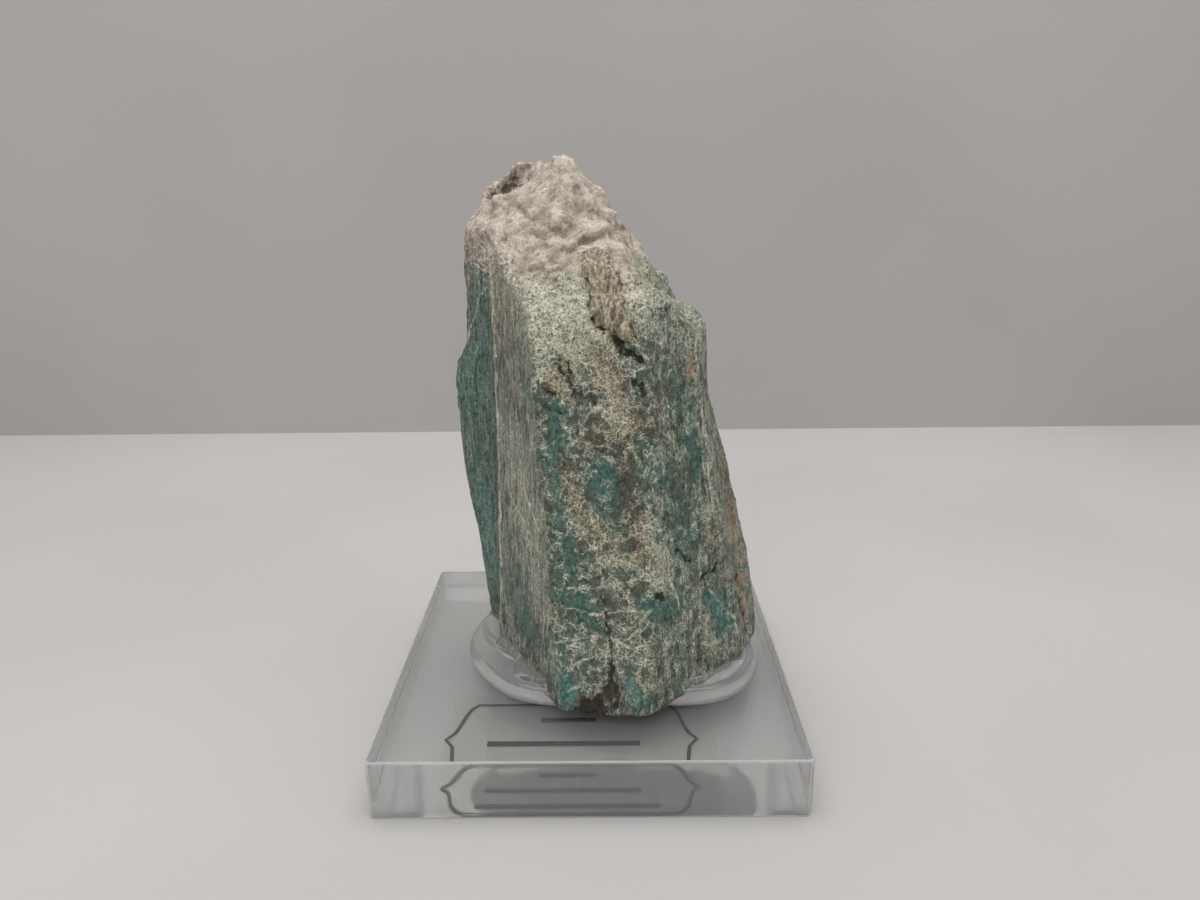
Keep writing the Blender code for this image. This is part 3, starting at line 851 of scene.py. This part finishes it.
def crystal_material(look):
    """Blue-green feldspar with veins, film, stained patches, a pale crust and painted shade in its cracks,
    creases and top cavity.
    """
    made, _, shader, place = new_material("amazonite with crust")
    paint = CrystalPaint(made.node_tree, place, look)
    body = paint.ground()
    for layer in (paint.film, paint.hairs, paint.sand, paint.veins, paint.crust, paint.stains_and_shade, paint.shade):
        body = layer(body)
    paint.put(body, shader.inputs["Base Color"])
    paint.put(paint.roughness(), shader.inputs["Roughness"])
    shader.inputs["Specular IOR Level"].default_value = MATT_SPECULAR
    grit = paint.total(paint.speckle, paint.product(paint.fine_speckle, 0.5))
    paint.bump(shader, grit, GRIT_HEIGHT * MM, GRIT_STRENGTH)
    return made


class SPECIMEN_OT_crystal(bpy.types.Operator):
    """Builds the amazonite crystal with its crust, cracks, veins, stained patches and painted shade"""

    bl_idname = "specimen.crystal"
    bl_label = "Amazonite crystal"

    def execute(self, context):
        look = context.scene.crystal_look
        crystal = crystal_skin(look)
        points, normals = points_of(crystal.data)
        masks = crystal_masks(points, normals)
        relief = crystal_relief(points, normals, masks, look)
        moved = points + normals * relief[:, None]
        low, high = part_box("amazonite")
        moved = np.clip(moved, np.array(low) / MM, np.array(high) / MM)
        crystal.data.vertices.foreach_set("co", (moved * MM).astype(np.float32).ravel())
        for name, values in masks.items():
            layer = crystal.data.attributes.new(name, "FLOAT", "POINT")
            layer.data.foreach_set("value", values.astype(np.float32))
        crystal.data.update()
        crystal.data.materials.append(crystal_material(look))
        select_only(crystal)
        bpy.ops.object.shade_smooth()
        finish_piece(crystal, "amazonite", "amazonite")
        return {"FINISHED"}


class AcrylicLook(bpy.types.PropertyGroup):
    """The clear base's sizes and colour"""

    corner: length("Corner radius", "Radius of the upright corners", 0.0008)
    edge: length("Edge break", "Width of the small break on each edge", 0.00022)
    clear: colour("Clear", "Colour of the light let through", (0.996, 0.998, 0.996))


def clear_material(name, colour):
    """One of the clear finishes in this colour, with fine streaks and wide smudges."""
    ior, least_roughness, most_roughness, streaks_per_mm, streak_height, clearness = CLEAR_FINISHES[name]
    made, tree, shader, place = new_material(name)
    inputs = {
        "Place": place,
        "Streaks per mm": streaks_per_mm,
        "Least roughness": least_roughness,
        "Most roughness": most_roughness,
    }
    surface = tree.group(CLEAR_SURFACE, inputs)
    smudged = tuple(part * 0.99 for part in colour)
    tree.put(tree.mix(surface["Smudges"], tuple(colour), smudged), shader.inputs["Base Color"])
    tree.put(surface["Roughness"], shader.inputs["Roughness"])
    shader.inputs["IOR"].default_value = ior
    shader.inputs["Transmission Weight"].default_value = clearness
    tree.bump(shader, surface["Streaks"], streak_height * MM)
    return made


class SPECIMEN_OT_base(bpy.types.Operator):
    """Builds the square clear base with broken edges and sawn sides"""

    bl_idname = "specimen.base"
    bl_label = "Clear base"

    def execute(self, context):
        look = context.scene.acrylic_look
        low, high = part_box("display_base")
        base = add_primitive("clear_base", bpy.ops.mesh.primitive_cube_add, size=1, location=(low + high) / 2)
        base.scale = high - low
        apply_place(base)
        bpy.ops.object.mode_set(mode="EDIT")
        self.select_edges(base, lambda rise: rise > look.corner)
        bpy.ops.mesh.bevel(offset=look.corner, segments=6, affect="EDGES")
        self.select_edges(base, lambda rise: rise < look.edge)
        bpy.ops.mesh.bevel(offset=look.edge, segments=2, affect="EDGES")
        bpy.ops.object.mode_set(mode="OBJECT")
        for name in ("polished acrylic", "sawn acrylic", "broken edges"):
            base.data.materials.append(clear_material(name, look.clear))
        for face in base.data.polygons:
            rise = abs(face.normal.z)
            face.material_index = 0 if rise > 0.99 else 2 if rise > 0.01 else 1
        bpy.ops.object.shade_smooth_by_angle(angle=math.radians(18))
        finish_piece(base, "clear_acrylic", "display_base")
        return {"FINISHED"}

    def select_edges(self, base, wanted):
        """Selects the edges whose rise from end to end is wanted. The mesh is in edit mode."""
        bpy.ops.mesh.select_mode(type="EDGE")
        bpy.ops.mesh.select_all(action="DESELECT")
        bm = bmesh.from_edit_mesh(base.data)
        for edge in bm.edges:
            edge.select = wanted(abs(edge.verts[0].co.z - edge.verts[1].co.z))
        bm.select_flush_mode()
        bmesh.update_edit_mesh(base.data)


class PadLook(bpy.types.PropertyGroup):
    """The adhesive pad's size and colour"""

    climb: length("Climb", "How high the pad creeps up the crystal", 0.0009)
    clear: colour("Clear", "Colour of the light let through", (0.992, 0.994, 0.990))


def seen_from(centre, node):
    """The points of a CAD node: how far right and back of the centre they are, and their heights."""
    points = np.array([vertex.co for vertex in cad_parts[node].data.vertices])
    return points[:, :2] - np.array(centre), points[:, 2]


class SPECIMEN_OT_pad(bpy.types.Operator):
    """Builds the clear adhesive pad with its round rim and the fillet against the crystal"""

    bl_idname = "specimen.pad"
    bl_label = "Adhesive pad"
    points_round = 128
    full_turn = 2 * math.pi

    def execute(self, context):
        look = context.scene.pad_look
        low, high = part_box("adhesive_pad")
        centre = (low.xy + high.xy) / 2
        angles = [self.full_turn * i / self.points_round for i in range(self.points_round)]
        rings = self.rings(centre, angles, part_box("display_base")[1].z, high.z, look.climb)

        circle = {"vertices": self.points_round, "radius": 0.01, "fill_type": "NGON"}
        pad = add_primitive("clear_pad", bpy.ops.mesh.primitive_circle_add, **circle)
        bpy.ops.object.mode_set(mode="EDIT")
        bpy.ops.mesh.select_all(action="SELECT")
        self.set_ring(pad, centre, rings[0])
        for ring in rings[1:]:
            bpy.ops.mesh.extrude_region_move()
            self.set_ring(pad, centre, ring)
        bpy.ops.mesh.select_all(action="SELECT")
        bpy.ops.mesh.normals_make_consistent(inside=False)
        bpy.ops.object.mode_set(mode="OBJECT")
        bpy.ops.object.shade_smooth()
        pad.data.materials.append(clear_material("clear adhesive", look.clear))
        finish_piece(pad, "adhesive", "adhesive_pad")
        return {"FINISHED"}

    def rim(self, centre, angles):
        """How far the pad's solid reaches from its centre at each angle, smoothed."""
        flat, _ = seen_from(centre, "adhesive_pad")
        turn = np.arctan2(flat[:, 1], flat[:, 0])
        reach = np.hypot(flat[:, 0], flat[:, 1])
        near = math.radians(7)
        found = []
        for angle in angles:
            apart = np.abs((turn - angle + math.pi) % self.full_turn - math.pi)
            found.append(reach[apart < near].max())
        found = np.array(found)
        for _ in range(6):
            found = (np.roll(found, 1) + 2 * found + np.roll(found, -1)) / 4
        return found

    def crystal_foot(self, centre, angles):
        """How far the crystal's foot reaches from the pad's centre in each direction."""
        flat, heights = seen_from(centre, "amazonite")
        low, high = FOOT_HEIGHTS
        flat = flat[(heights > low * MM) & (heights < high * MM)]
        return np.array([(flat @ np.array((math.cos(a), math.sin(a)))).max() for a in angles])

    def rings(self, centre, angles, base_top, pad_top, climb):
        """Rings of points from the pad's foot, over its round rim and up to the crystal."""
        sunk = PAD_SUNK * MM
        radius = (pad_top - base_top) / 2
        rim = self.rim(centre, angles)
        foot = self.crystal_foot(centre, angles)
        reaches = [rim * 0.80]
        heights = [base_top - sunk]
        for step in range(9):
            angle = math.pi * (step / 8 - 0.5)
            reaches.append(rim - radius * (1 - math.cos(angle)) * 0.9)
            heights.append(base_top - sunk + (radius + sunk / 2) * (1 + math.sin(angle)))
        inner = np.minimum(foot + PAD_LEDGE * MM, rim - radius * 1.15)
        for gap, rise in PAD_CLIMB:
            reaches.append(np.minimum(inner, foot + gap * MM))
            heights.append(pad_top + rise * climb)
        return [
            [(centre.x + r * math.cos(a), centre.y + r * math.sin(a), height) for r, a in zip(reach, angles)]
            for reach, height in zip(reaches, heights)
        ]

    def set_ring(self, pad, centre, ring):
        """Moves the selected points, in their order round the centre, to the ring's places."""
        half_step = self.full_turn / self.points_round / 2
        bm = bmesh.from_edit_mesh(pad.data)
        chosen = [vertex for vertex in bm.verts if vertex.select]
        turns = [math.atan2(*(vertex.co.xy - centre).yx) + half_step for vertex in chosen]
        order = sorted(range(len(chosen)), key=lambda i: turns[i] % self.full_turn)
        for i, place in zip(order, ring):
            chosen[i].co = place
        bmesh.update_edit_mesh(pad.data)


class LabelLook(bpy.types.PropertyGroup):
    """The label's line widths and colours"""

    stroke: length("Stroke", "Width of the printed border", 0.00045)
    rule: length("Ruled line", "Width of the printed ruled lines", 0.0009)
    film: colour("Film", "Colour of the light let through", (0.97, 0.97, 0.962))
    ink: colour("Ink", "Colour of the print", (0.012, 0.012, 0.013))


def ink_material(look):
    """Black print that is faded in places."""
    made, tree, shader, place = new_material("black print")
    worn = tree.noise_at(place, 2.5, 3.0, 0.7)
    faded = tuple(part + 0.04 for part in look.ink)
    ink = tree.mix(tree.ramp(worn, 0.45, 0.75), tuple(look.ink), faded)
    tree.put(ink, shader.inputs["Base Color"])
    tree.put(tree.ramp(worn, 0.3, 0.7, 0.45, 0.65), shader.inputs["Roughness"])
    return made


class SPECIMEN_OT_label(bpy.types.Operator):
    """Builds the clear label under the base, with its printed border and plain ruled lines"""

    bl_idname = "specimen.label"
    bl_label = "Label"

    def execute(self, context):
        look = context.scene.label_look
        self.film(look)
        self.ink(context, look)
        return {"FINISHED"}

    def film(self, look):
        """The round-cornered clear film."""
        low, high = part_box("label")
        middle = (low + high) / 2
        place = (middle.x, middle.y, FILM_BOTTOM * MM)
        film = add_primitive("label_film", bpy.ops.mesh.primitive_plane_add, size=1, location=place)
        film.scale = (high.x - low.x, high.y - low.y, 1)
        apply_place(film)
        bpy.ops.object.mode_set(mode="EDIT")
        bpy.ops.mesh.select_all(action="SELECT")
        bpy.ops.mesh.bevel(offset=FILM_CORNER * MM, segments=6, affect="VERTICES")
        bpy.ops.mesh.select_all(action="SELECT")
        bpy.ops.mesh.extrude_region_move(TRANSFORM_OT_translate={"value": (0, 0, FILM_THICKNESS * MM)})
        bpy.ops.mesh.select_all(action="SELECT")
        bpy.ops.mesh.normals_make_consistent(inside=False)
        bpy.ops.object.mode_set(mode="OBJECT")
        film.data.materials.append(clear_material("label film", look.film))
        finish_piece(film, "label_film", "label")

    def ink(self, context, look):
        """The printed border and ruled lines, as one piece."""
        strokes = [self.stroke(route, look.rule) for route in RULED_LINES]
        mirrored = [(-x, y) for x, y in reversed(BORDER_HALF[1:-1])]
        border = [(x + BORDER_CENTRE[0], y + BORDER_CENTRE[1]) for x, y in (*BORDER_HALF, *mirrored)]
        strokes.append(self.stroke((*border, border[0]), look.stroke))
        bpy.ops.object.select_all(action="DESELECT")
        for stroke in strokes:
            stroke.select_set(True)
        context.view_layer.objects.active = strokes[-1]
        bpy.ops.object.join()
        ink = context.object
        ink.name = "label_print"
        ink.data.materials.clear()
        ink.data.materials.append(ink_material(look))
        finish_piece(ink, "label_film")

    def stroke(self, route, width):
        """A flat printed line along a route, as a mesh."""
        curve = bpy.data.curves.new("stroke", "CURVE")
        curve.dimensions = "3D"
        curve.bevel_depth = width / 2
        curve.bevel_resolution = 2
        curve.use_fill_caps = True
        line = curve.splines.new("POLY")
        line.points.add(len(route) - 1)
        for point, (x, y) in zip(line.points, route):
            point.co = (x * MM, y * MM, 0, 1)
        made = bpy.data.objects.new("stroke", curve)
        bpy.context.scene.collection.objects.link(made)
        select_only(made)
        bpy.ops.object.convert(target="MESH")
        made = bpy.context.object
        made.scale.z = INK_THICKNESS * MM / width
        made.location.z = INK_HEIGHT * MM
        apply_place(made)
        return made


class StageLook(bpy.types.PropertyGroup):
    """The stage's colours and lights"""

    floor: colour("Floor", "Pale floor", (0.62, 0.605, 0.595))
    wall: colour("Backdrop", "Grey backdrop", (0.50, 0.485, 0.47))
    top_light: bpy.props.FloatProperty(
        name="Top light", description="Power of the soft light overhead", default=1.18, unit="POWER"
    )
    front_light: bpy.props.FloatProperty(
        name="Front light", description="Power of the soft light in front", default=0.41, unit="POWER"
    )
    surround: bpy.props.FloatProperty(
        name="Surround", description="Strength of the light from all round", default=0.50
    )


def card_material(name, colour):
    """Matt card in this colour, with faint clouds and a few specks."""
    made, tree, shader, place = new_material(name)
    card = tree.group(CARD, {"Place": place})
    darker = tuple(part * 0.93 for part in colour)
    tone = tree.mix(card["Clouds"], tuple(colour), darker)
    tone = tree.mix(card["Specks"], tone, darker)
    tree.put(tone, shader.inputs["Base Color"])
    tree.put(card["Roughness"], shader.inputs["Roughness"])
    shader.inputs["Specular IOR Level"].default_value = MATT_SPECULAR
    tree.bump(shader, card["Fibres"], FIBRE_HEIGHT * MM)
    return made


class SPECIMEN_OT_stage(bpy.types.Operator):
    """Builds the pale floor, the grey backdrop, the soft lights and the camera"""

    bl_idname = "specimen.stage"
    bl_label = "Stage"

    def execute(self, context):
        look = context.scene.stage_look
        self.sheet("floor", card_material("pale card", look.floor), (0, 0, -FLOOR_GAP * MM), 0)
        self.sheet("backdrop", card_material("grey card", look.wall), (0, WALL_Y * MM, 0), 90)
        self.light("top softbox", TOP_LIGHT_PLACE, TOP_LIGHT_SIZE, look.top_light)
        self.light("front softbox", FRONT_LIGHT_PLACE, FRONT_LIGHT_SIZE, look.front_light)
        self.surround(context.scene, look.surround)
        self.camera(context.scene)
        context.scene.view_settings.view_transform = "Standard"
        return {"FINISHED"}

    def sheet(self, name, material, place, tilt):
        """A wide sheet of card at this place, tilted back by this angle."""
        grid = {"x_subdivisions": 8, "y_subdivisions": 8, "size": SHEET_SIDE}
        sheet = add_primitive(name, bpy.ops.mesh.primitive_grid_add, **grid)
        sheet.rotation_euler.x = math.radians(tilt)
        sheet.location = place
        apply_place(sheet)
        sheet.data.materials.append(material)

    def light(self, name, place, size, power):
        """A soft rectangle of light that faces the crystal."""
        data = bpy.data.lights.new(name, "AREA")
        data.shape = "RECTANGLE"
        data.size, data.size_y = size
        data.energy = power
        light = bpy.data.objects.new(name, data)
        bpy.context.scene.collection.objects.link(light)
        light.location = place
        aim = Vector(LIGHTS_AIM) - light.location
        light.rotation_euler = aim.to_track_quat("-Z", "Y").to_euler()

    def surround(self, scene, strength):
        """An even pale light from all round."""
        world = bpy.data.worlds.new("studio")
        scene.world = world
        world.use_nodes = True
        background = world.node_tree.nodes["Background"]
        background.inputs["Color"].default_value = SURROUND_COLOUR
        background.inputs["Strength"].default_value = strength

    def camera(self, scene):
        """The camera at the photograph's place and angle."""
        data = bpy.data.cameras.new("camera")
        data.lens = CAMERA_LENS
        data.sensor_width = 36
        data.clip_start = 0.001
        data.clip_end = 20
        camera = bpy.data.objects.new("camera", data)
        scene.collection.objects.link(camera)
        yaw = Matrix.Rotation(math.radians(CAMERA_YAW), 4, "Z")
        pitch = Matrix.Rotation(math.radians(90 - CAMERA_PITCH), 4, "X")
        roll = Matrix.Rotation(math.radians(CAMERA_ROLL), 4, "Z")
        camera.matrix_world = Matrix.Translation(Vector(CAMERA_PLACE) * MM) @ yaw @ pitch @ roll
        scene.camera = camera


class SPECIMEN_PT_panel(bpy.types.Panel):
    """Lists the specimen's pieces with their sizes and colours"""

    bl_idname = "SPECIMEN_PT_panel"
    bl_label = "Specimen"
    bl_space_type = "VIEW_3D"
    bl_region_type = "UI"
    bl_category = "Specimen"

    def draw(self, context):
        for look, kind, operator in PIECES:
            box = self.layout.box()
            box.operator(operator.bl_idname)
            for name in kind.__annotations__:
                box.prop(getattr(context.scene, look), name)


# The pieces: the name of each look on the scene, its kind and the operator that builds the piece
PIECES = (
    ("crystal_look", CrystalLook, SPECIMEN_OT_crystal),
    ("acrylic_look", AcrylicLook, SPECIMEN_OT_base),
    ("pad_look", PadLook, SPECIMEN_OT_pad),
    ("label_look", LabelLook, SPECIMEN_OT_label),
    ("stage_look", StageLook, SPECIMEN_OT_stage),
)
CLASSES = (*(kind for _, *kinds in PIECES for kind in kinds), SPECIMEN_PT_panel)


def register():
    for kind in CLASSES:
        bpy.utils.register_class(kind)
    for look, kind, _ in PIECES:
        setattr(bpy.types.Scene, look, bpy.props.PointerProperty(type=kind))


def unregister():
    for look, _, _ in PIECES:
        delattr(bpy.types.Scene, look)
    for kind in reversed(CLASSES):
        bpy.utils.unregister_class(kind)


def main():
    """Builds all the pieces and the stage."""
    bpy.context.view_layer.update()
    register()
    bpy.ops.specimen.crystal()
    bpy.ops.specimen.base()
    bpy.ops.specimen.pad()
    bpy.ops.specimen.label()
    bpy.ops.specimen.stage()


if __name__ == "__main__":
    main()
